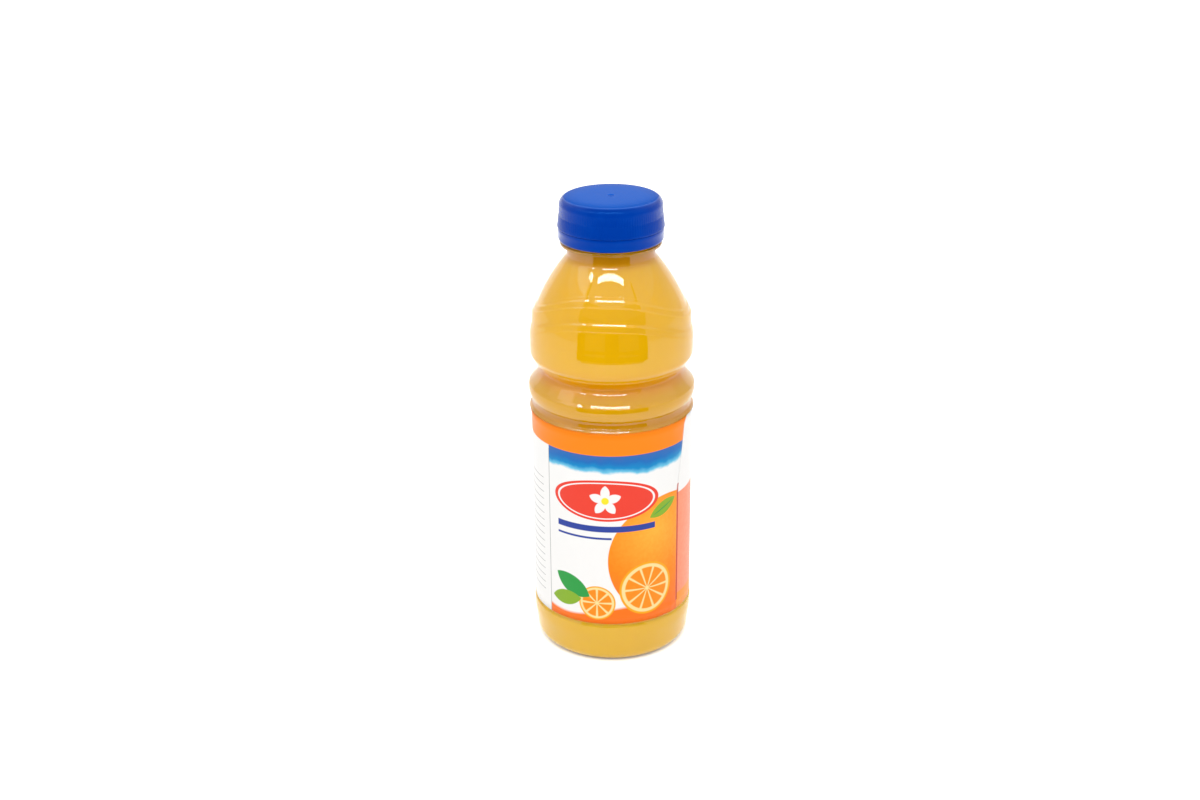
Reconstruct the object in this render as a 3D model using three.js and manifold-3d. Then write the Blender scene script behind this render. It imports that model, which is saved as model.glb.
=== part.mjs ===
// Juice bottle: a clear blow-moulded bottle full of orange juice, with a blue screw cap,
// the tamper band under the cap and a wrap-round film label.
// Millimetres, +Z up. The origin is the middle of the ring that the bottle stands on, and
// the front of the label faces -Y.
import * as THREE from 'three';
import { mergeVertices } from 'three/addons/utils/BufferGeometryUtils.js';
import Module from 'manifold-3d';

// Overall sizes
const HEIGHT = 185.5;
const BODY_RADIUS = 32.1;
const WALL = 0.5;
const JUICE_GAP = 0.3;
const TURN_SEGMENTS = 48;
const JUICE_SEGMENTS = 32;

// Foot and heel
const PUSH_UP_HEIGHT = 4;
const PUSH_UP_SHOULDER_RADIUS = 20.5;
const PUSH_UP_SHOULDER_HEIGHT = 1.3;
const STAND_INNER_RADIUS = 23.4;
const STAND_OUTER_RADIUS = 25.9;
const HEEL_CORNER = 5.2;
const LOWER_BEAD_BOTTOM = 13;
const LOWER_BEAD_TOP = 17;

// Label panel and label, whose top edge flares a little over the bead
const LABEL_BOTTOM = 18.2;
const LABEL_TOP = 100.6;
const LABEL_RADIUS = 31.95;
const LABEL_FILM = 0.25;
const LABEL_FLARE = 0.45;
const LABEL_FLARE_HEIGHT = 3.2;
const PANEL_RADIUS = 31.5;
const PANEL_MARGIN = 0.3;

// Bead, groove and bumper ring above the label, and the waist above them
const UPPER_BEAD_RADIUS = 32.65;
const UPPER_BEAD_HEIGHT = 101.7;
const GROOVE_RADIUS = 31;
const GROOVE_HEIGHT = 103.7;
const RING_RADIUS = 32.8;
const RING_HEIGHT = 108.6;
const WAIST_RADIUS = 27.7;
const WAIST_HEIGHT = 116.9;

// Shoulder, from the dome's lower corner and its widest height up to the neck
const DOME_CORNER_HEIGHT = 124;
const DOME_HEIGHT = 127.6;
const SHOULDER_TOP = 161.7;
const SHOULDER_TOP_RADIUS = 17.9;
const SHOULDER_POWER = 1.9;

// Waves round the shoulder, two to a turn. Each wave line has its height at the front, where
// it is highest, its drop from there to its lowest places, and how far the wall stands proud
// of the plain shoulder along it, at its highest and at its lowest places.
const WAVE_LINES = [
  { height: 135, drop: 5.5, proud: [0, 0] },
  { height: 138.4, drop: 8, proud: [0.15, 0.05] },
  { height: 141.2, drop: 9.3, proud: [0.34, 0.15] },
  { height: 143.9, drop: 9.3, proud: [0, 0] },
  { height: 146.8, drop: 9.3, proud: [0.12, 0.4] },
  { height: 149.4, drop: 9.3, proud: [0.3, 0.8] },
  { height: 152.1, drop: 9.3, proud: [0, 0] },
  { height: 156.4, drop: 8, proud: [0, 0] },
  { height: 160.6, drop: 4, proud: [0, 0] },
];
const WAVE_SHARPNESS = 1.4;
const WAVE_CREST_ANGLE = THREE.MathUtils.degToRad(-7);

// Neck, support ring and mouth
const NECK_RADIUS = 17.1;
const NECK_BORE = 16.1;
const NECK_BOTTOM = 163.2;
const FINISH_RADIUS = 17.6;
const SUPPORT_RING_RADIUS = 19.6;
const SUPPORT_RING_BOTTOM = 166.9;
const SUPPORT_RING_TOP = 168.1;
const LIP_TOP = 183.5;

// Juice level, hidden behind the cap
const JUICE_LEVEL = 171.5;

// Screw cap
const CAP_TOP_RADIUS = 19.85;
const CAP_CORNER = 2.6;
const CAP_RIM_RADIUS = 20.55;
const CAP_BOTTOM = 173.8;
const CAP_BORE = 18.3;
const CAP_PANEL = 1.7;
const CAP_GATE_RADIUS = 1.2;
const CAP_GATE_DEPTH = 0.25;
const CAP_SEGMENTS = 48;

// Grip ridges on the cap's skirt
const GRIP_COUNT = 120;
const GRIP_DEPTH = 0.2;
const GRIP_BOTTOM = 174.5;
const GRIP_TOP = 181.6;
const GRIP_BOTTOM_RADIUS = 20.4;
const GRIP_TOP_RADIUS = 19.75;
const GRIP_BURIED = 0.35;

// Tamper band
const BAND_TOP = 173.4;
const BAND_BOTTOM = 168.6;
const BAND_TOP_RADIUS = 20.35;
const BAND_BOTTOM_RADIUS = 20.25;
const BAND_CHAMFER = 1.1;

const point = (radius, height) => new THREE.Vector2(radius, height);

// A round stretch of an outline, from one angle to another in degrees
function arc(radius, height, size, from, to, steps) {
  const curve = new THREE.EllipseCurve(
    radius, height, size, size,
    THREE.MathUtils.degToRad(from), THREE.MathUtils.degToRad(to), to < from,
  );
  return curve.getPoints(steps);
}

// A smooth stretch of an outline through a few stations
function flow(stations, stepsEach) {
  return new THREE.SplineCurve(stations).getPoints((stations.length - 1) * stepsEach);
}

// The shoulder's radius without waves: widest and upright at the dome, closing to the neck
function shoulderRadius(height) {
  const rise = Math.max(0, height - DOME_HEIGHT) / (SHOULDER_TOP - DOME_HEIGHT);
  return BODY_RADIUS - (BODY_RADIUS - SHOULDER_TOP_RADIUS) * rise ** SHOULDER_POWER;
}

// The pushed-up base, the ring it stands on and the round heel
function footOutline(heelSteps) {
  return [
    point(0, PUSH_UP_HEIGHT),
    point(PUSH_UP_SHOULDER_RADIUS * 0.6, PUSH_UP_HEIGHT - 0.6),
    point(PUSH_UP_SHOULDER_RADIUS, PUSH_UP_SHOULDER_HEIGHT),
    point(STAND_INNER_RADIUS, 0),
    ...arc(STAND_OUTER_RADIUS, HEEL_CORNER, HEEL_CORNER, -90, -8, heelSteps),
  ];
}

// From the groove over the bumper ring and through the waist to the dome
function waistOutline(stepsEach) {
  return flow([
    point(GROOVE_RADIUS, GROOVE_HEIGHT),
    point(RING_RADIUS - 0.6, GROOVE_HEIGHT + 1.8),
    point(RING_RADIUS, RING_HEIGHT),
    point(RING_RADIUS - 0.5, RING_HEIGHT + 3),
    point(WAIST_RADIUS + 1.2, WAIST_HEIGHT - 1.5),
    point(WAIST_RADIUS, WAIST_HEIGHT),
    point(WAIST_RADIUS + 0.8, WAIST_HEIGHT + 1.5),
    point(BODY_RADIUS - 0.6, DOME_CORNER_HEIGHT - 1.4),
    point(BODY_RADIUS - 0.1, DOME_CORNER_HEIGHT),
    point(BODY_RADIUS, DOME_HEIGHT),
  ], stepsEach);
}

// Moves each point of an outline inwards, square to the outline
function inset(outline, distance) {
  return outline.map((here, i) => {
    if (here.x === 0) {
      return point(0, here.y + distance);
    }
    const before = outline[Math.max(i - 1, 0)];
    const after = outline[Math.min(i + 1, outline.length - 1)];
    const along = after.clone().sub(before).normalize();
    return point(here.x - along.y * distance, here.y + along.x * distance);
  });
}

// The plain body, without beads and waves, that the inner wall and the juice follow
function plainBody() {
  const shoulder = [0.25, 0.5, 0.75, 1].map((share) => {
    const height = THREE.MathUtils.lerp(DOME_HEIGHT, SHOULDER_TOP, share);
    return point(shoulderRadius(height), height);
  });
  return [
    ...footOutline(2),
    point(PANEL_RADIUS, LOWER_BEAD_BOTTOM),
    point(PANEL_RADIUS, UPPER_BEAD_HEIGHT - 1),
    ...waistOutline(1),
    ...shoulder,
  ];
}

// The share of its drop that a wave line has taken at an angle round the bottle
function waveShare(angle) {
  return ((1 - Math.cos(2 * (angle - WAVE_CREST_ANGLE))) / 2) ** WAVE_SHARPNESS;
}

// Turns an outline of (radius, height) points into a body standing on +Z
function turned(outline, segments) {
  const geometry = new THREE.LatheGeometry(outline, segments);
  geometry.rotateX(Math.PI / 2);
  return geometry;
}

function bottleGeometry() {
  const below = [
    ...footOutline(4),
    point(BODY_RADIUS - 0.5, (HEEL_CORNER + LOWER_BEAD_BOTTOM) / 2),
    point(BODY_RADIUS, LOWER_BEAD_BOTTOM),
    point(BODY_RADIUS, LOWER_BEAD_TOP - 0.4),
    point(PANEL_RADIUS, LABEL_BOTTOM - PANEL_MARGIN),
    point(PANEL_RADIUS, LABEL_TOP - LABEL_FLARE_HEIGHT),
    point(PANEL_RADIUS + LABEL_FLARE, LABEL_TOP + 0.1),
    point(UPPER_BEAD_RADIUS - 0.1, UPPER_BEAD_HEIGHT - 0.6),
    point(UPPER_BEAD_RADIUS, UPPER_BEAD_HEIGHT),
    point(GROOVE_RADIUS + 0.5, GROOVE_HEIGHT - 0.9),
    ...waistOutline(2),
  ];
  const neck = [
    point(SHOULDER_TOP_RADIUS, SHOULDER_TOP),
    point(NECK_RADIUS, NECK_BOTTOM),
    point(NECK_RADIUS, SUPPORT_RING_BOTTOM),
    point(SUPPORT_RING_RADIUS, SUPPORT_RING_BOTTOM + 0.3),
    point(SUPPORT_RING_RADIUS, SUPPORT_RING_TOP - 0.3),
    point(FINISH_RADIUS, SUPPORT_RING_TOP),
    point(FINISH_RADIUS, LIP_TOP - 0.3),
    point(FINISH_RADIUS - 0.3, LIP_TOP),
    point(NECK_BORE, LIP_TOP),
    point(NECK_BORE, NECK_BOTTOM + 2),
  ];
  const outline = [
    ...below,
    ...WAVE_LINES.map(({ height }) => point(shoulderRadius(height), height)),
    ...neck,
    ...inset(plainBody(), WALL).reverse(),
  ];
  const geometry = turned(outline, TURN_SEGMENTS);
  // The shoulder's lines leave their level circles and follow the waves
  const position = geometry.getAttribute('position');
  for (let i = 0; i < position.count; i += 1) {
    const line = WAVE_LINES[(i % outline.length) - below.length];
    if (line !== undefined) {
      const angle = Math.atan2(position.getX(i), -position.getY(i));
      const share = waveShare(angle);
      const height = line.height - line.drop * share;
      const radius = shoulderRadius(height) + THREE.MathUtils.lerp(...line.proud, share);
      position.setXYZ(i, radius * Math.sin(angle), -radius * Math.cos(angle), height);
    }
  }
  return geometry;
}

// Juice up to its level in the neck
function juiceGeometry() {
  const neckRadius = NECK_BORE - JUICE_GAP;
  const outline = [
    ...inset(plainBody(), WALL + JUICE_GAP),
    point(neckRadius, NECK_BOTTOM + 2),
    point(neckRadius, JUICE_LEVEL),
    point(0, JUICE_LEVEL),
  ];
  return turned(outline, JUICE_SEGMENTS);
}

function labelGeometry() {
  const inner = LABEL_RADIUS - LABEL_FILM;
  const flareBottom = LABEL_TOP - LABEL_FLARE_HEIGHT;
  return turned([
    point(inner, LABEL_BOTTOM),
    point(LABEL_RADIUS, LABEL_BOTTOM),
    point(LABEL_RADIUS, flareBottom),
    point(LABEL_RADIUS + LABEL_FLARE, LABEL_TOP),
    point(inner + LABEL_FLARE, LABEL_TOP),
    point(inner, flareBottom),
    point(inner, LABEL_BOTTOM),
  ], TURN_SEGMENTS);
}

// Grip ridges: a sleeve with a zigzag outline that widens downwards with the skirt. It runs
// from inside the rim to inside the top corner, through the flat faces that they end in.
function gripSleeve() {
  const tips = GRIP_COUNT * 2;
  const outer = [];
  for (let i = 0; i < tips; i += 1) {
    const angle = (i / tips) * Math.PI * 2;
    const radius = GRIP_TOP_RADIUS - (i % 2 === 0 ? 0 : GRIP_DEPTH);
    outer.push(point(radius * Math.cos(angle), radius * Math.sin(angle)));
  }
  const boreRadius = CAP_BORE + GRIP_BURIED;
  const shape = new THREE.Shape(outer);
  const bore = new THREE.Path();
  bore.absarc(0, 0, boreRadius, 0, Math.PI * 2, true);
  shape.holes.push(bore);
  const depth = GRIP_TOP - GRIP_BOTTOM + 2 * GRIP_BURIED;
  const geometry = new THREE.ExtrudeGeometry(shape, {
    depth,
    bevelEnabled: false,
    curveSegments: CAP_SEGMENTS / 2,
  });
  const position = geometry.getAttribute('position');
  const flare = GRIP_BOTTOM_RADIUS / GRIP_TOP_RADIUS - 1;
  for (let i = 0; i < position.count; i += 1) {
    const onBore = Math.hypot(position.getX(i), position.getY(i)) < boreRadius + 0.01;
    const scale = onBore ? 1 : 1 + flare * (1 - position.getZ(i) / depth);
    const height = position.getZ(i) + GRIP_BOTTOM - GRIP_BURIED;
    position.setXYZ(i, position.getX(i) * scale, position.getY(i) * scale, height);
  }
  return geometry;
}

function capShell() {
  const ceiling = HEIGHT - CAP_PANEL;
  const core = CAP_BORE + 2 * GRIP_BURIED;
  return turned([
    point(0, HEIGHT - CAP_GATE_DEPTH),
    point(0, ceiling),
    point(CAP_BORE, ceiling),
    point(CAP_BORE, CAP_BOTTOM),
    point(CAP_RIM_RADIUS - 0.2, CAP_BOTTOM),
    point(CAP_RIM_RADIUS, CAP_BOTTOM + 0.2),
    point(CAP_RIM_RADIUS, GRIP_BOTTOM),
    point(core, GRIP_BOTTOM),
    point(core, GRIP_TOP),
    point(CAP_TOP_RADIUS, GRIP_TOP),
    ...arc(CAP_TOP_RADIUS - CAP_CORNER, HEIGHT - CAP_CORNER, CAP_CORNER, 0, 90, 4),
    point(CAP_GATE_RADIUS + 0.3, HEIGHT),
    point(CAP_GATE_RADIUS, HEIGHT - CAP_GATE_DEPTH),
    point(0, HEIGHT - CAP_GATE_DEPTH),
  ], CAP_SEGMENTS);
}

const wasm = await Module();
wasm.setup();

function solidFrom(geometry) {
  const bare = geometry.clone();
  bare.deleteAttribute('normal');
  bare.deleteAttribute('uv');
  const merged = mergeVertices(bare, 1e-4);
  return new wasm.Manifold(new wasm.Mesh({
    numProp: 3,
    vertProperties: new Float32Array(merged.getAttribute('position').array),
    triVerts: new Uint32Array(merged.index.array),
  }));
}

function geometryFrom(solid) {
  const { vertProperties, triVerts } = solid.getMesh();
  const geometry = new THREE.BufferGeometry();
  geometry.setAttribute('position', new THREE.BufferAttribute(vertProperties, 3));
  geometry.setIndex(new THREE.BufferAttribute(triVerts, 1));
  return geometry;
}

function capGeometry() {
  return geometryFrom(solidFrom(capShell()).add(solidFrom(gripSleeve())));
}

function bandGeometry() {
  return turned([
    point(CAP_BORE, BAND_BOTTOM + 0.2),
    point(BAND_BOTTOM_RADIUS - BAND_CHAMFER, BAND_BOTTOM),
    point(BAND_BOTTOM_RADIUS, BAND_BOTTOM + BAND_CHAMFER),
    point(BAND_TOP_RADIUS, BAND_TOP - 0.2),
    point(BAND_TOP_RADIUS - 0.2, BAND_TOP),
    point(CAP_BORE, BAND_TOP),
    point(CAP_BORE, BAND_BOTTOM + 0.2),
  ], CAP_SEGMENTS);
}

function piece(name, geometry, color, roughness) {
  const material = new THREE.MeshStandardMaterial({ color, roughness, metalness: 0 });
  const mesh = new THREE.Mesh(geometry, material);
  mesh.name = name;
  return mesh;
}

const bottle = new THREE.Group();
bottle.add(piece('bottle', bottleGeometry(), 0xf4f1e6, 0.08));
bottle.add(piece('juice', juiceGeometry(), 0xeeb21c, 0.4));
bottle.add(piece('label', labelGeometry(), 0xf6f5f2, 0.35));
bottle.add(piece('cap', capGeometry(), 0x0b4fb3, 0.35));
bottle.add(piece('tamper_band', bandGeometry(), 0x0b4fb3, 0.35));

export default bottle;
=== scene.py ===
import math

import bmesh
import bpy
from mathutils import Matrix, Vector


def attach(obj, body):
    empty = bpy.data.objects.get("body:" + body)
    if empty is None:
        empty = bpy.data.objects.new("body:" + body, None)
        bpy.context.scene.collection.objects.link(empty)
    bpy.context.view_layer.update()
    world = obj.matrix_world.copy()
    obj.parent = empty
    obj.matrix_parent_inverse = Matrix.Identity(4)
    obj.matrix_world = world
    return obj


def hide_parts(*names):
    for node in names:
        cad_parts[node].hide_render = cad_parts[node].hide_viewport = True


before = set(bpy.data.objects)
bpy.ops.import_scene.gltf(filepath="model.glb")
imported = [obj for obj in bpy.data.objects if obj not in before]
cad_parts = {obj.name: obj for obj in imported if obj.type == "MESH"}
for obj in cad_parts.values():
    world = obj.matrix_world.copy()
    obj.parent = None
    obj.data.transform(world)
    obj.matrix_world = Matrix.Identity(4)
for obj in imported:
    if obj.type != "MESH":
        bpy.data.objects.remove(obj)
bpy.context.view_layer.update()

# The clear bottle
# Blow-moulded PET, clear and glossy, with the slight ripple of a blown wall. The shoulder is
# stacked in wavy tiers over a dome, and a waist and a bumper ring part it from the label
# panel. Sizes are in millimetres, and heights are taken from the table.
MM = 0.001
BOTTLE_HEIGHT = 185.5
ROUND_STEPS = 192
BODY_RADIUS = 32.1
PUSH_UP = 4
STAND_INNER_RADIUS = 23.4
STAND_OUTER_RADIUS = 25.9
HEEL_CORNER = 5.2
LOWER_BEAD_BOTTOM = 13.0
LOWER_BEAD_TOP = 17.0
PANEL_RADIUS = 31.5
LABEL_BOTTOM = 18.2
LABEL_TOP = 101.1
LABEL_FLARE = 0.66
LABEL_FLARE_HEIGHT = 3.2
UPPER_BEAD_RADIUS = 32.45
UPPER_BEAD_HEIGHT = 101.2
GROOVE_RADIUS = 31.0
GROOVE_HEIGHT = 103.7
RING_RADIUS = 32.78
RING_HEIGHT = 108.6
WAIST_RADIUS = 27.7
WAIST_HEIGHT = 117.1
CREASE_HEIGHT = 120.4
CREASE_RADIUS = 30.3
DOME_CORNER_HEIGHT = 124.0
DOME_HEIGHT = 127.6
SHOULDER_TOP = 161.7
SHOULDER_TOP_RADIUS = 17.9
SHOULDER_POWER = 1.9
NECK_RADIUS = 17.1
NECK_BOTTOM = 163.2
FINISH_RADIUS = 17.6
SUPPORT_RING_RADIUS = 19.6
SUPPORT_RING_BOTTOM = 166.9
SUPPORT_RING_TOP = 168.1
LIP_TOP = 183.5
# Heights up the front of the shoulder, and how far each line drops at its lowest places
WAVE_DROPS = (
    (DOME_HEIGHT, 0), (135, 5.5), (138.4, 8), (141.2, 9.3), (152.1, 9.3), (156.4, 8),
    (160.6, 4), (SHOULDER_TOP, 0),
)
WAVE_CREST = math.radians(-7)
WAVE_SHARPNESS = 1.4
# Each tier steps out at its ledges, and fades back to the plain shoulder below them. A ledge
# has its height, its width, and its step at the crest and at the low places of the wave.
UPPER_LEDGES = ((153.0, 0.5, 0.04, 0.03), (151.7, 1.2, 0.145, 0.45), (149.4, 0.8, 0.085, 0.35))
LOWER_LEDGES = ((143.6, 1.35, 0.33, 0.1), (141.1, 0.65, 0.14, 0.05))
TIERS = ((UPPER_LEDGES, 149.0, 144.6), (LOWER_LEDGES, 140.7, 133.0))


def arc(centre, size, start, end, steps):
    """Points of a round corner about a centre, between two angles in degrees."""
    angles = [math.radians(start + (end - start) * i / steps) for i in range(steps + 1)]
    return [(centre[0] + size * math.cos(a), centre[1] + size * math.sin(a)) for a in angles]


def flow(stations, steps):
    """A smooth outline through stations, by Catmull-Rom spans."""
    ends = [stations[0], *stations, stations[-1]]
    points = []
    for before, a, b, after in zip(ends, ends[1:], ends[2:], ends[3:]):
        for i in range(steps):
            t = i / steps
            points.append(tuple(
                0.5 * (2 * q + (r - p) * t + (2 * p - 5 * q + 4 * r - s) * t ** 2
                       + (3 * q - p - 3 * r + s) * t ** 3)
                for p, q, r, s in zip(before, a, b, after)
            ))
    return points + [stations[-1]]


def shoulder_radius(height):
    """Radius of the plain dome under the tiers."""
    rise = max(0, height - DOME_HEIGHT) / (SHOULDER_TOP - DOME_HEIGHT)
    return BODY_RADIUS - (BODY_RADIUS - SHOULDER_TOP_RADIUS) * rise ** SHOULDER_POWER


def wave_share(angle):
    """The share of its drop that a wave line has taken at an angle round the bottle."""
    return ((1 - math.cos(2 * (angle - WAVE_CREST))) / 2) ** WAVE_SHARPNESS


def wave_drop(height):
    """How far a line of the shoulder drops at its lowest places."""
    for (low, low_drop), (high, high_drop) in zip(WAVE_DROPS, WAVE_DROPS[1:]):
        if low <= height <= high:
            return low_drop + (high_drop - low_drop) * (height - low) / (high - low)
    return 0


def tier_proud(height, share):
    """How far the tiers stand out of the plain shoulder at a height and a wave share."""
    proud = 0
    for ledges, fade_top, fade_bottom in TIERS:
        fade = min(1, max(0, (height - fade_bottom) / (fade_top - fade_bottom)))
        for line, width, crest_step, low_step in ledges:
            down = min(1, max(0, (line - height) / width + 0.5))
            step = crest_step + (low_step - crest_step) * share
            proud += fade * step * (1 - math.cos(math.pi * down)) / 2
    return proud


FOOT = [
    (0, PUSH_UP),
    *flow([(10, 3.6), (16, 2.6), (20.5, 1.3), (STAND_INNER_RADIUS, 0)], 4),
    *arc((STAND_OUTER_RADIUS, HEEL_CORNER), HEEL_CORNER, -90, -10, 12),
]
WAIST = [
    *flow([
        (PANEL_RADIUS + LABEL_FLARE, LABEL_TOP - 0.3),
        (UPPER_BEAD_RADIUS, UPPER_BEAD_HEIGHT),
        (UPPER_BEAD_RADIUS - 0.1, UPPER_BEAD_HEIGHT + 0.22),
        (UPPER_BEAD_RADIUS - 0.32, UPPER_BEAD_HEIGHT + 0.49),
        (UPPER_BEAD_RADIUS - 0.55, UPPER_BEAD_HEIGHT + 0.77),
        (UPPER_BEAD_RADIUS - 0.85, UPPER_BEAD_HEIGHT + 1),
        (GROOVE_RADIUS + 0.32, GROOVE_HEIGHT - 1.15),
        (GROOVE_RADIUS + 0.17, GROOVE_HEIGHT - 0.6),
        (GROOVE_RADIUS + 0.02, GROOVE_HEIGHT + 0.4),
        (GROOVE_RADIUS + 0.2, GROOVE_HEIGHT + 1.3),
        (RING_RADIUS - 0.6, GROOVE_HEIGHT + 2.4),
        (RING_RADIUS, RING_HEIGHT),
        (RING_RADIUS - 0.22, RING_HEIGHT + 2.1),
        (RING_RADIUS - 0.5, RING_HEIGHT + 2.6),
        (RING_RADIUS - 0.83, RING_HEIGHT + 3),
        (RING_RADIUS - 1.13, RING_HEIGHT + 3.37),
        (RING_RADIUS - 1.28, RING_HEIGHT + 3.56),
        (RING_RADIUS - 1.62, RING_HEIGHT + 3.92),
        (WAIST_RADIUS + 1.35, WAIST_HEIGHT - 2.2),
        (WAIST_RADIUS + 0.95, WAIST_HEIGHT - 1.75),
        (WAIST_RADIUS + 0.65, WAIST_HEIGHT - 1.35),
        (WAIST_RADIUS + 0.25, WAIST_HEIGHT - 0.7),
        (WAIST_RADIUS, WAIST_HEIGHT),
        (WAIST_RADIUS + 0.7, WAIST_HEIGHT + 1.3),
        (CREASE_RADIUS - 0.7, CREASE_HEIGHT - 0.9),
        (CREASE_RADIUS, CREASE_HEIGHT),
        (CREASE_RADIUS + 0.2, CREASE_HEIGHT + 0.5),
        (BODY_RADIUS - 0.6, DOME_CORNER_HEIGHT - 1.4),
        (BODY_RADIUS - 0.1, DOME_CORNER_HEIGHT),
        (BODY_RADIUS, DOME_HEIGHT),
    ], 6),
]
SHOULDER_RINGS = 68
SHOULDER_RISE = 0.5
LEDGE_RISE = 0.12
FILLET_RISE = 0.15
heights = {DOME_HEIGHT + SHOULDER_RISE * i for i in range(1, SHOULDER_RINGS)}
for ledges, *_ in TIERS:
    for line, width, *_ in ledges:
        rings = round(width / LEDGE_RISE) + 2
        heights.update(line + LEDGE_RISE * (i - rings / 2) for i in range(rings + 1))
heights.update(SHOULDER_TOP - FILLET_RISE * i for i in range(8))
SHOULDER = [(BODY_RADIUS, height) for height in sorted(heights)]
BODY = [
    *FOOT,
    *flow([
        (31.3, 7.5), (31.7, 10), (BODY_RADIUS, LOWER_BEAD_BOTTOM),
        (BODY_RADIUS, LOWER_BEAD_TOP - 1),
    ], 4),
    (BODY_RADIUS - 0.05, LOWER_BEAD_TOP - 0.3),
    *((BODY_RADIUS - 0.17 - 0.11 * i, LOWER_BEAD_TOP - 0.07 + 0.12 * i) for i in range(4)),
    (PANEL_RADIUS, LABEL_BOTTOM - 0.7),
    (PANEL_RADIUS, LABEL_TOP - LABEL_FLARE_HEIGHT),
    *WAIST,
    *SHOULDER,
]


def turned(outline, steps):
    """Spins an outline of (radius, height) points about the bottle's axis."""
    shape = bmesh.new()
    points = [shape.verts.new((radius * MM, 0, height * MM)) for radius, height in outline]
    edges = [shape.edges.new(pair) for pair in zip(points, points[1:])]
    bmesh.ops.spin(
        shape, geom=points + edges, cent=(0, 0, 0), axis=(0, 0, 1), dvec=(0, 0, 0),
        angle=2 * math.pi, steps=steps, use_merge=True,
    )
    bmesh.ops.remove_doubles(shape, verts=shape.verts, dist=0.001 * MM)
    bmesh.ops.recalc_face_normals(shape, faces=shape.faces)
    return shape


def set_waves(shape):
    """Drops the shoulder's rings into their waves and brings each to the shoulder's radius."""
    for vert in shape.verts:
        height = vert.co.z / MM
        if DOME_HEIGHT < height < SHOULDER_TOP + 0.01:
            angle = math.atan2(vert.co.x, -vert.co.y)
            share = wave_share(angle)
            new_height = height - wave_drop(height) * share
            radius = shoulder_radius(new_height) + tier_proud(height, share)
            vert.co = Vector((math.sin(angle) * radius, -math.cos(angle) * radius, new_height)) * MM


class Socket:
    """A shader output. Operators on it add Math nodes, and node() adds any other node."""

    def __init__(self, tree, link=None):
        self.tree = tree
        self.link = link

    def node(self, kind, settings=(), values=(), output=0):
        """Adds a node: first its settings, then a value or a link for each input."""
        node = self.tree.nodes.new(kind)
        for name, value in dict(settings).items():
            if name == "stops":
                ramp = node.color_ramp.elements
                for _ in range(len(value) - 2):
                    ramp.new(0.5)
                for element, (position, colour) in zip(ramp, value):
                    element.position = position
                    element.color = colour
            else:
                setattr(node, name, value)
        for name, value in dict(values).items():
            if isinstance(value, Socket):
                self.tree.links.new(value.link, node.inputs[name])
            else:
                node.inputs[name].default_value = value
        return Socket(self.tree, node.outputs[output] if node.outputs else None)

    def math(self, operation, *values, clamp=False):
        settings = {"operation": operation, "use_clamp": clamp}
        return self.node("ShaderNodeMath", settings, dict(enumerate(values)))

    def __add__(self, other):
        return self.math("ADD", self, other)

    def __sub__(self, other):
        return self.math("SUBTRACT", self, other)

    def __rsub__(self, other):
        return self.math("SUBTRACT", other, self)

    def __mul__(self, other):
        return self.math("MULTIPLY", self, other)

    def __truediv__(self, other):
        return self.math("DIVIDE", self, other)

    def __rtruediv__(self, other):
        return self.math("DIVIDE", other, self)

    __radd__ = __add__
    __rmul__ = __mul__

    def mix(self, under, over):
        """The colour under this mask where it is 0, and over it where it is 1."""
        return self.node("ShaderNodeMix", {"data_type": "RGBA"}, {0: self, 6: under, 7: over}, 2)


def new_material(name):
    """An empty material and the socket wrapper that its nodes are built with."""
    material = bpy.data.materials.new(name)
    material.use_nodes = True
    material.node_tree.nodes.clear()
    return material, Socket(material.node_tree)


def set_surface(start, shader):
    """Ends a material with its shader."""
    start.node("ShaderNodeOutputMaterial", (), {"Surface": shader})


def paint(red, green, blue):
    """A colour given as a screen shows it, 0 to 255, as the shader's linear colour."""
    linear = [
        (c / 255) / 12.92 if c <= 10 else ((c / 255 + 0.055) / 1.055) ** 2.4
        for c in (red, green, blue)
    ]
    return (*linear, 1)


def add_piece(shape, name, node, material, crease=math.radians(32)):
    """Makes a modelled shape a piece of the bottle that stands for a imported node."""
    for face in shape.faces:
        face.smooth = True
    for edge in shape.edges:
        edge.smooth = edge.calc_face_angle(0) < crease
    mesh = bpy.data.meshes.new(name)
    shape.to_mesh(mesh)
    shape.free()
    mesh.materials.append(material)
    piece = bpy.data.objects.new(name, mesh)
    bpy.context.scene.collection.objects.link(piece)
    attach(piece, "root")
    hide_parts(node)
    return piece


CLEAR_PLASTIC, clear = new_material("clear_plastic")
place = clear.node("ShaderNodeTexCoord", (), (), "Object")
ripple = clear.node("ShaderNodeTexNoise", (), {"Vector": place, "Scale": 55.0, "Detail": 1.0})
scuff = clear.node("ShaderNodeTexNoise", (), {"Vector": place, "Scale": 240.0, "Detail": 3.0})
set_surface(clear, clear.node("ShaderNodeBsdfPrincipled", (), {
    "Base Color": (1, 1, 1, 1),
    "Roughness": 0.02 + 0.05 * scuff,
    "IOR": 1.57,
    "Transmission Weight": 1.0,
    "Normal": clear.node("ShaderNodeBump", (), {
        "Strength": 0.12, "Distance": 0.4 * MM, "Height": ripple,
    }),
}))

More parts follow.
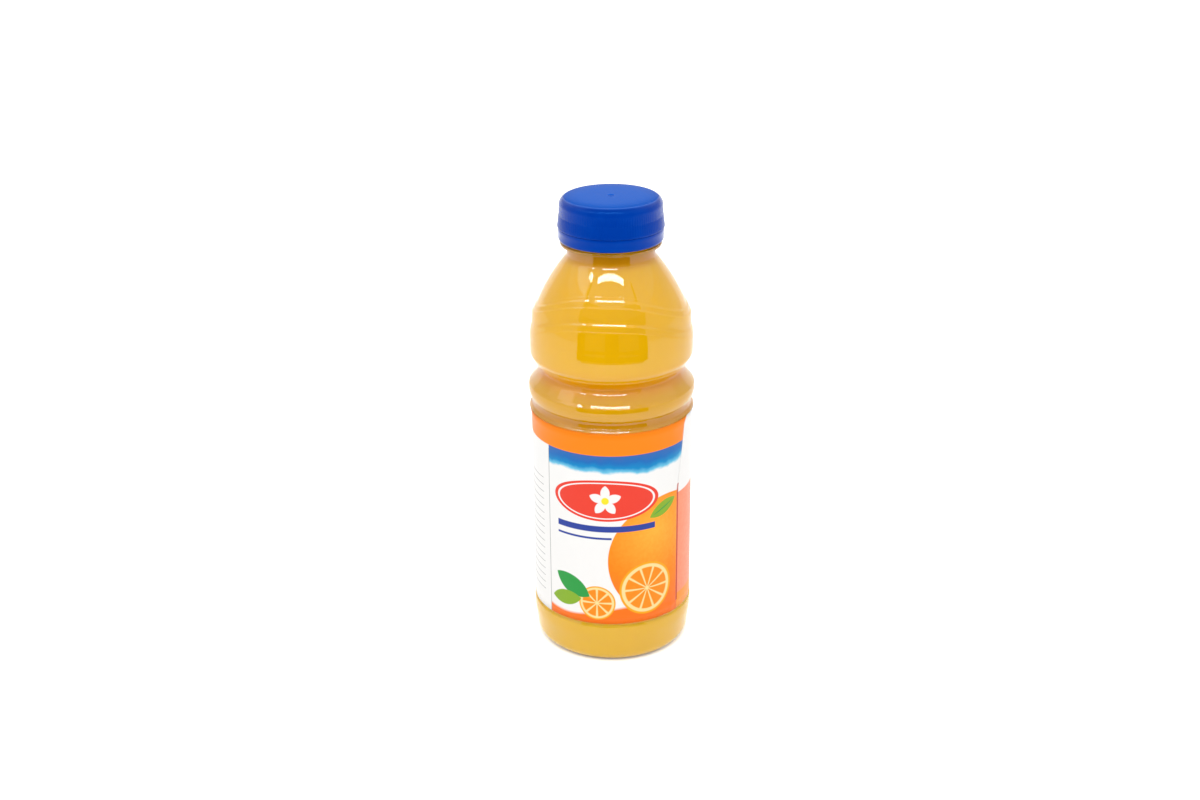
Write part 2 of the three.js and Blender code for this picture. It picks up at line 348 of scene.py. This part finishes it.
FINISH_WALL = 1.2
RING_CORNER = 0.3
wall = turned([
    *BODY,
    (NECK_RADIUS + 0.56, SHOULDER_TOP + 0.32),
    (NECK_RADIUS + 0.34, SHOULDER_TOP + 0.64),
    (NECK_RADIUS + 0.13, NECK_BOTTOM - 0.45),
    (NECK_RADIUS + 0.03, NECK_BOTTOM - 0.1),
    (NECK_RADIUS, NECK_BOTTOM + 0.4),
    (NECK_RADIUS, SUPPORT_RING_BOTTOM),
    *arc((SUPPORT_RING_RADIUS - RING_CORNER, SUPPORT_RING_BOTTOM + 0.35), RING_CORNER, -90, 0, 3),
    *arc((SUPPORT_RING_RADIUS - RING_CORNER, SUPPORT_RING_TOP - 0.35), RING_CORNER, 0, 90, 3),
    (FINISH_RADIUS, SUPPORT_RING_TOP),
    (FINISH_RADIUS, LIP_TOP),
    (FINISH_RADIUS - FINISH_WALL, LIP_TOP),
    (FINISH_RADIUS - FINISH_WALL, NECK_BOTTOM + 2),
    (NECK_RADIUS - 0.8, NECK_BOTTOM),
], ROUND_STEPS)
set_waves(wall)
add_piece(wall, "bottle_wall", "bottle", CLEAR_PLASTIC)

# The juice
# Cloudy orange juice, pulp and all, that wets the wall right up into the neck. Its skin
# lies inside the wall, so that the plastic and the juice meet with no air between them.
JUICE_LEVEL = 171.5
JUICE_SKIN = 0.25
# Heights up the bottle with the juice's red and green there: its own colour, with painted shade in
# the groove, waist, neck and foot
JUICE_COLOUR_AND_PAINTED_SHADE = (
    (0.2, 0.55, 0.25), (1.6, 0.96, 0.64), (98.0, 0.96, 0.65), (101.5, 0.82, 0.4),
    (104.2, 0.74, 0.32), (106.0, 0.88, 0.5), (113.0, 0.89, 0.51), (116.0, 0.97, 0.44),
    (119.8, 1.0, 0.46), (121.5, 1.0, 0.56), (126.0, 1.0, 0.63), (160.5, 1.0, 0.62),
    (163.5, 0.78, 0.34), (171.0, 0.7, 0.3),
)
BRIGHT_PULP = (1.0, 0.6, 0.0, 1)

JUICE, pulp = new_material("juice")
place = pulp.node("ShaderNodeTexCoord", (), (), "Object")
cloud = pulp.node("ShaderNodeTexNoise", (), {"Vector": place, "Scale": 45.0, "Detail": 4.0})
height = pulp.node("ShaderNodeSeparateXYZ", (), {0: place}, "Z")
# Painted shade: the juice's colour by height, darker where the groove, the waist, the neck and the
# foot lie in shade
colour_and_painted_shade = pulp.node("ShaderNodeValToRGB", {"stops": [
    (level / BOTTLE_HEIGHT, (red, green, 0.0, 1)) for level, red, green in JUICE_COLOUR_AND_PAINTED_SHADE
]}, {0: height / (BOTTLE_HEIGHT * MM)})
set_surface(pulp, pulp.node("ShaderNodeBsdfPrincipled", (), {
    "Base Color": (0.5 * cloud).mix(colour_and_painted_shade, BRIGHT_PULP),
    "Roughness": 0.6,
    "Specular IOR Level": 0.0,
}))

drink = turned([*BODY, (NECK_RADIUS, NECK_BOTTOM), (NECK_RADIUS, JUICE_LEVEL)], ROUND_STEPS)
set_waves(drink)
drink.normal_update()
shrunk = [(vert, vert.co - vert.normal * JUICE_SKIN * MM) for vert in drink.verts]
for vert, spot in shrunk:
    vert.co = spot
rim = [edge for edge in drink.edges if edge.is_boundary]
surface = bmesh.ops.edgeloop_fill(drink, edges=rim)["faces"]
bmesh.ops.poke(drink, faces=surface)
add_piece(drink, "juice_fill", "juice", JUICE)

# The label
# A printed film wrapped once round the panel, its end glued over its start at the front
# right. The print is an orange band over a blue one, a red badge, citrus fruit and leaves.
# Print is placed in millimetres round the panel from the front, and up from the table.
LABEL_RADIUS = 31.95
LABEL_FILM = 0.08
FILM_STEPS = 24
# How deep the film's two layers lie, in films, and the turn over which it climbs its own start
INNER_LAYER = 2.4
OUTER_LAYER = 1.0
LAP_STEP = 0.04
SEAM = math.radians(53.5)
OVERLAP = math.radians(7)
SLANT_BOTTOM = 72.0
SLANT_RISE = 29
SLANT = 0.165
PANEL_LEFT = -28.5
STRIP_WIDTH = 18.0
BACK_EDGE = math.radians(169.5)
ORANGE_BAND_BOTTOM = 91.5
BLUE_BAND_BOTTOM = 83.9
SOFT_EDGE = 0.25
BADGE = (-3, 72.5)
FRUIT = (24, 46)
FRUIT_RADIUS = 26
FRUIT_LEAF = (21.5, 66.5)
FRUIT_LEAF_TURN = math.radians(24)
BLOSSOM_REACH = 3.3
PETALS = 5
RULED_PITCH = 3.1

WHITE_INK = paint(219, 218, 216)
ORANGE_INK = paint(230, 121, 4)
DEEP_ORANGE_INK = paint(226, 104, 12)
PEACH_INK = paint(226, 142, 106)
RED_INK = paint(212, 58, 42)
NAVY_INK = paint(40, 60, 140)
GREEN_INK = paint(40, 140, 62)
LEAF_INK = paint(122, 158, 40)
RIND_INK = paint(232, 150, 20)
PITH_INK = paint(226, 200, 138)
FLESH_INK = paint(230, 134, 30)
GREY_INK = paint(96, 98, 102)
PINK_INK = paint(228, 120, 88)
YOLK_INK = paint(255, 205, 40)
# Painted shadow of the film's outer end along the seam
PAINTED_SEAM_SHADOW = paint(176, 44, 16)

LABEL_FILM_PRINT, ink = new_material("label_print")
place = ink.node("ShaderNodeTexCoord", (), (), "Object")
x, y, z = (ink.node("ShaderNodeSeparateXYZ", (), {0: place}, axis) for axis in "XYZ")
turned_by = ink.math("ARCTAN2", x, 0 - y)
across = ink.math("WRAP", turned_by, 2 * math.pi - BACK_EDGE, -BACK_EDGE) * LABEL_RADIUS
up = z / MM
seam_at = SEAM * LABEL_RADIUS
folded = ink.math("MINIMUM", across, 2 * seam_at + STRIP_WIDTH - across)


def inside(distance, soft=SOFT_EDGE):
    """A mask that is 1 where a distance in millimetres is negative."""
    return ink.math("MULTIPLY_ADD", distance, -1 / soft, 0.5, clamp=True)


def both(first, *masks):
    """A mask that is 1 where every one of these masks is 1."""
    for mask in masks:
        first = first * mask
    return first


def from_point(u, v, stretch=1.0):
    """Distance from a point of the print, with heights counted more if stretch is over 1."""
    du = folded - u
    dv = (up - v) * stretch
    return ink.math("SQRT", du * du + dv * dv)


def disc(u, v, radius, stretch=1.0):
    """A round spot about a point, flattened to an oval if stretch is over 1."""
    return inside(from_point(u, v, stretch) - radius)


def bar(u, v, half_width, half_height):
    """A level bar about a point."""
    sides = inside(ink.math("ABSOLUTE", folded - u) - half_width)
    return both(sides, inside(ink.math("ABSOLUTE", up - v) - half_height))


def leaf(u, v, length, width, turn):
    """A pointed leaf: where two equal discs overlap."""
    bend = (length ** 2 - width ** 2) / (4 * width)
    size = bend + width / 2
    du, dv = -math.sin(turn) * bend, math.cos(turn) * bend
    return both(disc(u + du, v + dv, size), disc(u - du, v - dv, size))


wander = ink.node("ShaderNodeTexNoise", (), {"Vector": place, "Scale": 90.0, "Detail": 3.0})
mottle = ink.node("ShaderNodeTexNoise", (), {"Vector": place, "Scale": 700.0, "Detail": 2.0})
front = inside(PANEL_LEFT - folded)
print_colour = WHITE_INK

# Blue band that fades into the white under it
fade = (ORANGE_BAND_BOTTOM - up) / (ORANGE_BAND_BOTTOM - BLUE_BAND_BOTTOM) + (wander - 0.5) * 0.9
sky = ink.node("ShaderNodeValToRGB", {"stops": [
    (0.0, paint(52, 92, 158)), (0.35, paint(18, 98, 168)), (0.62, paint(0, 122, 178)),
    (0.85, paint(100, 178, 206)), (1.0, WHITE_INK),
]}, {0: fade})
print_colour = front.mix(print_colour, sky)

# Whole fruit at the seam, with a leaf on it
fruit_shade = ink.node("ShaderNodeValToRGB", {"stops": [
    (0.0, paint(246, 160, 50)), (0.55, ORANGE_INK), (1.0, paint(228, 98, 34)),
]}, {0: from_point(17, 58) / 40 + (mottle - 0.5) * 0.25})
print_colour = disc(*FRUIT, FRUIT_RADIUS).mix(print_colour, fruit_shade)
print_colour = leaf(*FRUIT_LEAF, 14, 5.6, FRUIT_LEAF_TURN).mix(print_colour, LEAF_INK)
print_colour = leaf(*FRUIT_LEAF, 12, 0.5, FRUIT_LEAF_TURN).mix(print_colour, GREEN_INK)

# Ground of the picture
ground = up - 23.5 - 2.2 * ink.math("SINE", folded * 0.11 + 0.6)
print_colour = both(front, inside(ground, 1.2)).mix(print_colour, DEEP_ORANGE_INK)


def add_wheel(under, u, v, radius, segments):
    """A cut wheel: rind, pith, and flesh parted into segments by pale spokes."""
    middle = from_point(u, v)
    turn = ink.math("ARCTAN2", up - v, folded - u)
    spoke = ink.math("ABSOLUTE", ink.math("SINE", turn * (segments / 2)))
    flesh = both(inside(middle - radius * 0.8), inside(0.16 + 0.9 / (middle + 0.4) - spoke, 0.2))
    colour = inside(middle - radius).mix(under, RIND_INK)
    colour = inside(middle - radius * 0.92).mix(colour, PITH_INK)
    return flesh.mix(colour, mottle.mix(FLESH_INK, ORANGE_INK))


# Two cut wheels of citrus
print_colour = add_wheel(print_colour, 14, 33, 11.5, 10)
print_colour = add_wheel(print_colour, -6.5, 27.5, 7.5, 8)

# Leaves at the left
print_colour = leaf(-17, 34, 17, 8, math.radians(-28)).mix(print_colour, GREEN_INK)
print_colour = leaf(-20, 27.5, 14, 6.5, math.radians(8)).mix(print_colour, LEAF_INK)

# Red badge with a blossom in it, and navy lines under it
print_colour = disc(*BADGE, 22, 2.5).mix(print_colour, RED_INK)
badge_ring = both(disc(*BADGE, 20.4, 2.6), 1 - disc(*BADGE, 19.5, 2.65))
print_colour = badge_ring.mix(print_colour, WHITE_INK)
for petal in range(PETALS):
    angle = math.pi / 2 + 2 * math.pi * petal / PETALS
    petal_u = BADGE[0] + BLOSSOM_REACH * math.cos(angle)
    petal_v = BADGE[1] + BLOSSOM_REACH * math.sin(angle)
    print_colour = leaf(petal_u, petal_v, 6.4, 3.6, angle).mix(print_colour, WHITE_INK)
print_colour = disc(*BADGE, 1.5).mix(print_colour, YOLK_INK)
print_colour = bar(BADGE[0], 60.3, 20.5, 1.3).mix(print_colour, NAVY_INK)
print_colour = bar(-12, 56.2, 11.5, 0.45).mix(print_colour, NAVY_INK)

# Orange band along the top edge
print_colour = inside(ORANGE_BAND_BOTTOM - up).mix(print_colour, ORANGE_INK)

# Plain strip past the seam, and a painted shadow of the film's outer end
lean = ink.math("MAXIMUM", (up - SLANT_BOTTOM) / SLANT_RISE, 0)
seam_line = seam_at + SLANT * LABEL_RADIUS * lean
strip = both(inside(seam_line - across), inside(across - seam_at - STRIP_WIDTH))
under_print = inside(up - 70).mix(WHITE_INK, mottle.mix(PEACH_INK, PINK_INK))
under_print = inside(up - 25).mix(under_print, FLESH_INK)
print_colour = strip.mix(print_colour, under_print)
beside_seam = ink.math("ABSOLUTE", across - seam_line)
painted_seam_shadow = both(inside(beside_seam - 0.6), inside(up - 74), inside(22 - up))
print_colour = (0.85 * painted_seam_shadow).mix(print_colour, PAINTED_SEAM_SHADOW)

# Thin ruled lines of the side panel
ruled = ink.math("ABSOLUTE", ink.math("FRACT", up / RULED_PITCH) - 0.5) * RULED_PITCH
lines = both(
    1 - front, inside(ruled - 0.1, 0.15), inside(folded - PANEL_LEFT + 4),
    inside(PANEL_LEFT - 34 - folded), inside(up - 78), inside(24 - up), inside(across - seam_at),
)
print_colour = lines.mix(print_colour, GREY_INK)
print_colour = bar(PANEL_LEFT, 52, 0.12, 38).mix(print_colour, GREY_INK)

crinkle = ink.node("ShaderNodeTexNoise", (), {
    "Vector": ink.node("ShaderNodeMapping", (), {"Vector": place, "Scale": (1, 1, 0.25)}),
    "Scale": 60.0, "Detail": 2.0,
})
set_surface(ink, ink.node("ShaderNodeBsdfPrincipled", (), {
    "Base Color": print_colour,
    "Roughness": 0.3 + 0.12 * mottle,
    "Specular IOR Level": 0.15,
    "Normal": ink.node("ShaderNodeBump", (), {
        "Strength": 0.2, "Distance": 0.25 * MM, "Height": crinkle,
    }),
}))

film = bmesh.new()
bmesh.ops.create_grid(film, x_segments=ROUND_STEPS, y_segments=FILM_STEPS, size=1.0)
for vert in film.verts:
    height = LABEL_BOTTOM + (LABEL_TOP - LABEL_BOTTOM) * (vert.co.y + 1) / 2
    slant = SLANT * max(0, (height - SLANT_BOTTOM) / SLANT_RISE)
    turn = (vert.co.x + 1) / 2 * (2 * math.pi + OVERLAP + slant)
    lapped = min(1, max(0, (turn - 2 * math.pi) / LAP_STEP + 1))
    flare = LABEL_FLARE * max(0, (height - LABEL_TOP) / LABEL_FLARE_HEIGHT + 1)
    layer = INNER_LAYER + (OUTER_LAYER - INNER_LAYER) * lapped
    radius = LABEL_RADIUS - layer * LABEL_FILM + flare
    angle = SEAM - OVERLAP + turn
    vert.co = Vector((math.sin(angle) * radius, -math.cos(angle) * radius, height)) * MM
bmesh.ops.recalc_face_normals(film, faces=film.faces)
label = add_piece(film, "label_sleeve", "label", LABEL_FILM_PRINT)
thickness = label.modifiers.new("film", "SOLIDIFY")
thickness.thickness = LABEL_FILM * MM
thickness.offset = 0

# The screw cap
# Injection-moulded blue plastic with a satin skin. Fine grip ridges run down the skirt to
# a rim bead, the top falls a little towards its well rounded edge, and the gate leaves a
# small mark in the middle. It is screwed down over the bottle's finish.
CAP_STEPS = 480
CAP_BOTTOM = 173.8
CAP_TOP_RADIUS = 19.85
CAP_RIM_RADIUS = 20.55
CAP_CORNER = 2.6
CAP_BORE = 18.3
CAP_PANEL = 1.7
RIM_CORNER = 0.25
GATE_RADIUS = 0.5
GATE_SUNK = 0.12
DIMPLE_RADIUS = 1.5
DIMPLE_SUNK = 0.25
GRIP_COUNT = 120
GRIP_DEPTH = 0.08
GRIP_BOTTOM = 174.6
GRIP_TOP = 181.9
LEDGE_HEIGHT = 178.4
SKIRT_BLUE = paint(0, 46, 140)
SKIRT_PALE_BLUE = paint(0, 55, 152)
# Painted light: the top is a paler blue than the skirt, as if lit from above and reflecting the
# pale room
PAINTED_LIT_CROWN_BLUE = paint(0, 102, 214)
LIT_CROWN_BLEND = 0.8
LIT_CROWN_START = BOTTLE_HEIGHT - 0.8 * LIT_CROWN_BLEND
CROWN_DROP = 0.35
CROWN_FLAT = 11.0
SHEEN_BLUE = paint(60, 160, 255)


def blue_plastic(name):
    """Blue moulded plastic: an even satin with a little mottle and a faint flow ripple, and painted
    light on its top, which is a paler blue.
    """
    material, skin = new_material(name)
    spot = skin.node("ShaderNodeTexCoord", (), (), "Object")
    flow_marks, grain = (
        skin.node("ShaderNodeTexNoise", (), {"Vector": spot, "Scale": scale, "Detail": 2.0})
        for scale in (180.0, 2600.0)
    )
    height = skin.node("ShaderNodeSeparateXYZ", (), {0: spot}, "Z")
    blend = LIT_CROWN_BLEND * MM
    # Painted light: a mask that makes the top paler than the skirt
    painted_lit_crown = skin.math("MULTIPLY_ADD", height, 1 / blend, -LIT_CROWN_START / LIT_CROWN_BLEND, clamp=True)
    set_surface(skin, skin.node("ShaderNodeBsdfPrincipled", (), {
        "Base Color": painted_lit_crown.mix(flow_marks.mix(SKIRT_BLUE, SKIRT_PALE_BLUE), PAINTED_LIT_CROWN_BLUE),
        "Roughness": 0.13 + 0.05 * flow_marks,
        "Specular IOR Level": 0.25,
        "Specular Tint": SHEEN_BLUE,
        "Normal": skin.node("ShaderNodeBump", (), {
            "Strength": 0.12, "Distance": 0.1 * MM, "Height": grain,
        }),
    }))
    return material


shell = turned([
    (0, BOTTLE_HEIGHT - GATE_SUNK),
    (GATE_RADIUS, BOTTLE_HEIGHT - GATE_SUNK),
    (GATE_RADIUS + 0.2, BOTTLE_HEIGHT - DIMPLE_SUNK),
    (DIMPLE_RADIUS - 0.3, BOTTLE_HEIGHT - DIMPLE_SUNK),
    (DIMPLE_RADIUS, BOTTLE_HEIGHT),
    (CROWN_FLAT, BOTTLE_HEIGHT),
    (CROWN_FLAT + 2, BOTTLE_HEIGHT),
    (CROWN_FLAT + 4, BOTTLE_HEIGHT),
    *arc((CAP_TOP_RADIUS - CAP_CORNER - 0.13, BOTTLE_HEIGHT - CAP_CORNER), CAP_CORNER, 90, 36, 8),
    *arc((CAP_TOP_RADIUS - CAP_CORNER, BOTTLE_HEIGHT - CAP_CORNER - 0.18), CAP_CORNER, 34, 0, 5),
    (CAP_TOP_RADIUS, GRIP_TOP + 0.25),
    (CAP_TOP_RADIUS, GRIP_TOP - 0.05),
    (CAP_TOP_RADIUS + 0.09, LEDGE_HEIGHT + 0.18),
    (CAP_TOP_RADIUS + 0.21, LEDGE_HEIGHT),
    (CAP_TOP_RADIUS + 0.43, GRIP_BOTTOM + 1),
    (CAP_TOP_RADIUS + 0.51, GRIP_BOTTOM + 0.86),
    (CAP_TOP_RADIUS + 0.58, GRIP_BOTTOM + 0.1),
    *arc((CAP_RIM_RADIUS - RIM_CORNER, CAP_BOTTOM + 0.55), RIM_CORNER, 60, 0, 3),
    *arc((CAP_RIM_RADIUS - RIM_CORNER, CAP_BOTTOM + RIM_CORNER), RIM_CORNER, 0, -90, 4),
    (CAP_BORE, CAP_BOTTOM),
    (CAP_BORE, BOTTLE_HEIGHT - CAP_PANEL),
    (0, BOTTLE_HEIGHT - CAP_PANEL),
], CAP_STEPS)
for vert in shell.verts:
    radius = math.hypot(vert.co.x, vert.co.y) / MM
    height = vert.co.z / MM
    if height > GRIP_TOP + 0.5:
        outward = max(0, (radius - CROWN_FLAT) / (CAP_TOP_RADIUS - CROWN_FLAT))
        vert.co.z -= CROWN_DROP * MM * outward ** 2
    if radius > CAP_BORE + 0.5 and GRIP_BOTTOM < height < GRIP_TOP:
        turn = math.atan2(vert.co.y, vert.co.x) / (2 * math.pi) * GRIP_COUNT
        sunk = GRIP_DEPTH * (0.5 - 0.5 * math.cos(2 * math.pi * turn))
        vert.co.xy *= (radius - sunk) / radius
CAP_PLASTIC = blue_plastic("cap_plastic")
add_piece(shell, "cap_shell", "cap", CAP_PLASTIC)

# The tamper band
# The same blue plastic, moulded with the cap and cut from it all round but for small
# bridges that hold the two together until the cap is first turned.
BAND_TOP = 173.7
BAND_BOTTOM = 168.6
BAND_TOP_RADIUS = 20.35
BAND_BOTTOM_RADIUS = 20.25
BAND_CORNER = 1.1
BRIDGES = 24
BRIDGE_SIZE = (0.7, 0.9, 0.5)

hoop = turned([
    (CAP_BORE, BAND_TOP),
    *arc((BAND_TOP_RADIUS - RIM_CORNER, BAND_TOP - RIM_CORNER), RIM_CORNER, 90, 0, 3),
    (BAND_TOP_RADIUS - 0.02, BAND_TOP - 1.4),
    (BAND_TOP_RADIUS - 0.12, BAND_TOP - 1.6),
    *arc((BAND_BOTTOM_RADIUS - BAND_CORNER, BAND_BOTTOM + BAND_CORNER), BAND_CORNER, 0, -80, 8),
    (CAP_BORE, BAND_BOTTOM + 0.2),
    (CAP_BORE, BAND_TOP),
], ROUND_STEPS)
for i in range(BRIDGES):
    bmesh.ops.create_cube(hoop, size=1, matrix=(
        Matrix.Rotation(2 * math.pi * (i + 0.5) / BRIDGES, 4, "Z")
        @ Matrix.Translation(Vector((BAND_TOP_RADIUS - 0.5, 0, BAND_TOP + 0.1)) * MM)
        @ Matrix.Diagonal((*(side * MM for side in BRIDGE_SIZE), 1))
    ))
BAND_PLASTIC = blue_plastic("band_plastic")
add_piece(hoop, "tamper_band_hoop", "tamper_band", BAND_PLASTIC)

# The studio
# A plain white table that glows a little, with a painted contact shadow round the bottle's foot;
# soft light from all round and a long strip light high over the front.
# Cards bent round the bottle show only in its reflections: pale walls, and darker flags at
# the camera's side that keep the middle of the bottle clear. Its sizes are in metres.
FLOOR_SIZE = 6.0
SHOULDER_MIDDLE = 0.14
# Painted contact shadow: the table's glow fades in between these distances from the bottle's axis
PAINTED_SHADOW_RADIUS = 0.027
PAINTED_SHADOW_FADE = 0.004
STRIP_LENGTH = 0.92
STRIP_DEPTH = 0.082


def from_bottle(azimuth, elevation, distance):
    """A point seen from the bottle's shoulder: azimuth 0 is the camera's side."""
    a, e = math.radians(azimuth), math.radians(elevation)
    return Vector((
        distance * math.sin(a) * math.cos(e),
        -distance * math.cos(a) * math.cos(e),
        SHOULDER_MIDDLE + distance * math.sin(e),
    ))


def add_card(name, azimuths, elevations, distance, strength):
    """A card between two azimuths and two elevations. The weakest ones are the flags."""
    card = bmesh.new()
    bmesh.ops.create_grid(card, x_segments=24, y_segments=6, size=1)
    for vert in card.verts:
        azimuth, elevation = (
            low + (high - low) * (along + 1) / 2
            for (low, high), along in zip((azimuths, elevations), vert.co.xy)
        )
        vert.co = from_bottle(azimuth, elevation, distance)
    mesh = bpy.data.meshes.new(name)
    card.to_mesh(mesh)
    card.free()
    material, glow = new_material(name)
    set_surface(glow, glow.node("ShaderNodeEmission", (), {"Strength": strength}))
    mesh.materials.append(material)
    panel = bpy.data.objects.new(name, mesh)
    bpy.context.scene.collection.objects.link(panel)
    panel.visible_camera = False
    panel.visible_diffuse = False
    panel.visible_shadow = False
    panel.visible_transmission = False


table = bmesh.new()
bmesh.ops.create_grid(table, x_segments=1, y_segments=1, size=FLOOR_SIZE / 2)
table_mesh = bpy.data.meshes.new("table")
table.to_mesh(table_mesh)
table.free()
TABLE_WHITE, top = new_material("table_white")
place = top.node("ShaderNodeTexCoord", (), (), "Object")
from_axis = top.node("ShaderNodeVectorMath", {"operation": "LENGTH"}, {0: place}, "Value")
# Painted contact shadow: no glow at the bottle's foot, fading in a few millimetres outside it
outside_painted_contact_shadow = top.math(
    "MULTIPLY_ADD", from_axis, 1 / PAINTED_SHADOW_FADE, -PAINTED_SHADOW_RADIUS / PAINTED_SHADOW_FADE, clamp=True,
)
set_surface(top, top.node("ShaderNodeBsdfPrincipled", (), {
    "Base Color": (0.9, 0.9, 0.9, 1),
    "Roughness": 0.9,
    "Specular IOR Level": 0.1,
    "Emission Color": outside_painted_contact_shadow.mix((0, 0, 0, 1), (1, 1, 1, 1)),
    "Emission Strength": 0.5,
}))
table_mesh.materials.append(TABLE_WHITE)
floor = bpy.data.objects.new("table", table_mesh)
bpy.context.scene.collection.objects.link(floor)

add_card("upper_wall", (50, 310), (28, 62), 1.6, 1.35)
add_card("upper_front", (-50, 50), (36, 62), 1.6, 1.3)
add_card("back_wall", (135, 225), (-6, 12), 1.5, 1.5)
add_card("back_flag_low", (165, 195), (4, 19), 1.3, 0.37)
add_card("back_flag_high", (165, 195), (19, 36), 1.3, 0.12)
add_card("left_glow", (-96, -55), (37, 47), 1.4, 2.6)
add_card("ceiling", (-180, 180), (61, 89), 1.5, 0.65)
add_card("side_strip", (-60, -50), (46, 50), 1.2, 16.0)
add_card("flag_top", (-47, 48), (20, 36), 0.5, 0.45)
add_card("flag_middle", (-47, 48), (12, 20), 0.5, 0.28)
add_card("flag_foot", (-42, 44), (-23, -6), 0.5, 0.3)
add_card("flag", (-47, 48), (-14, 12), 0.48, 0.05)
add_card("flag_left_edge", (-50, -46), (10, 46), 0.46, 0.4)
add_card("flag_right_edge", (45, 49), (10, 46), 0.46, 0.3)
add_card("flag_left_fold", (-36, -9), (-8, 14), 0.46, 0.2)
add_card("flag_right_fold", (9, 36), (-8, 14), 0.46, 0.18)

key_data = bpy.data.lights.new("key", "AREA")
key_data.shape = "RECTANGLE"
key_data.size = STRIP_LENGTH
key_data.size_y = STRIP_DEPTH
key_data.energy = 4.1
key = bpy.data.objects.new("key", key_data)
key.location = from_bottle(-2.5, 54.8, 1.2)
key.rotation_mode = "QUATERNION"
towards_key = key.location - Vector((0, 0, SHOULDER_MIDDLE))
key.rotation_quaternion = towards_key.to_track_quat("Z", "Y")
bpy.context.scene.collection.objects.link(key)

world = bpy.data.worlds.new("white_room")
world.use_nodes = True
world.node_tree.nodes["Background"].inputs["Color"].default_value = (1, 1, 1, 1)
world.node_tree.nodes["Background"].inputs["Strength"].default_value = 1.0
bpy.context.scene.world = world
bpy.context.scene.view_settings.view_transform = "Standard"

# The camera
# A 50 mm lens that looks down on the bottle from two thirds of a metre away, at the
# photo's own angle.
CAMERA_PITCH = math.radians(22.508)
CAMERA_ROLL = math.radians(-0.4)
CAMERA_PLACE = Vector((-4.65, -611.3, 355.1)) * MM

lens = bpy.data.cameras.new("camera")
lens.lens = 50
lens.sensor_width = 36
camera = bpy.data.objects.new("camera", lens)
camera.matrix_world = (
    Matrix.Translation(CAMERA_PLACE)
    @ Matrix.Rotation(math.pi / 2 - CAMERA_PITCH, 4, "X")
    @ Matrix.Rotation(CAMERA_ROLL, 4, "Z")
)
bpy.context.scene.collection.objects.link(camera)
bpy.context.scene.camera = camera
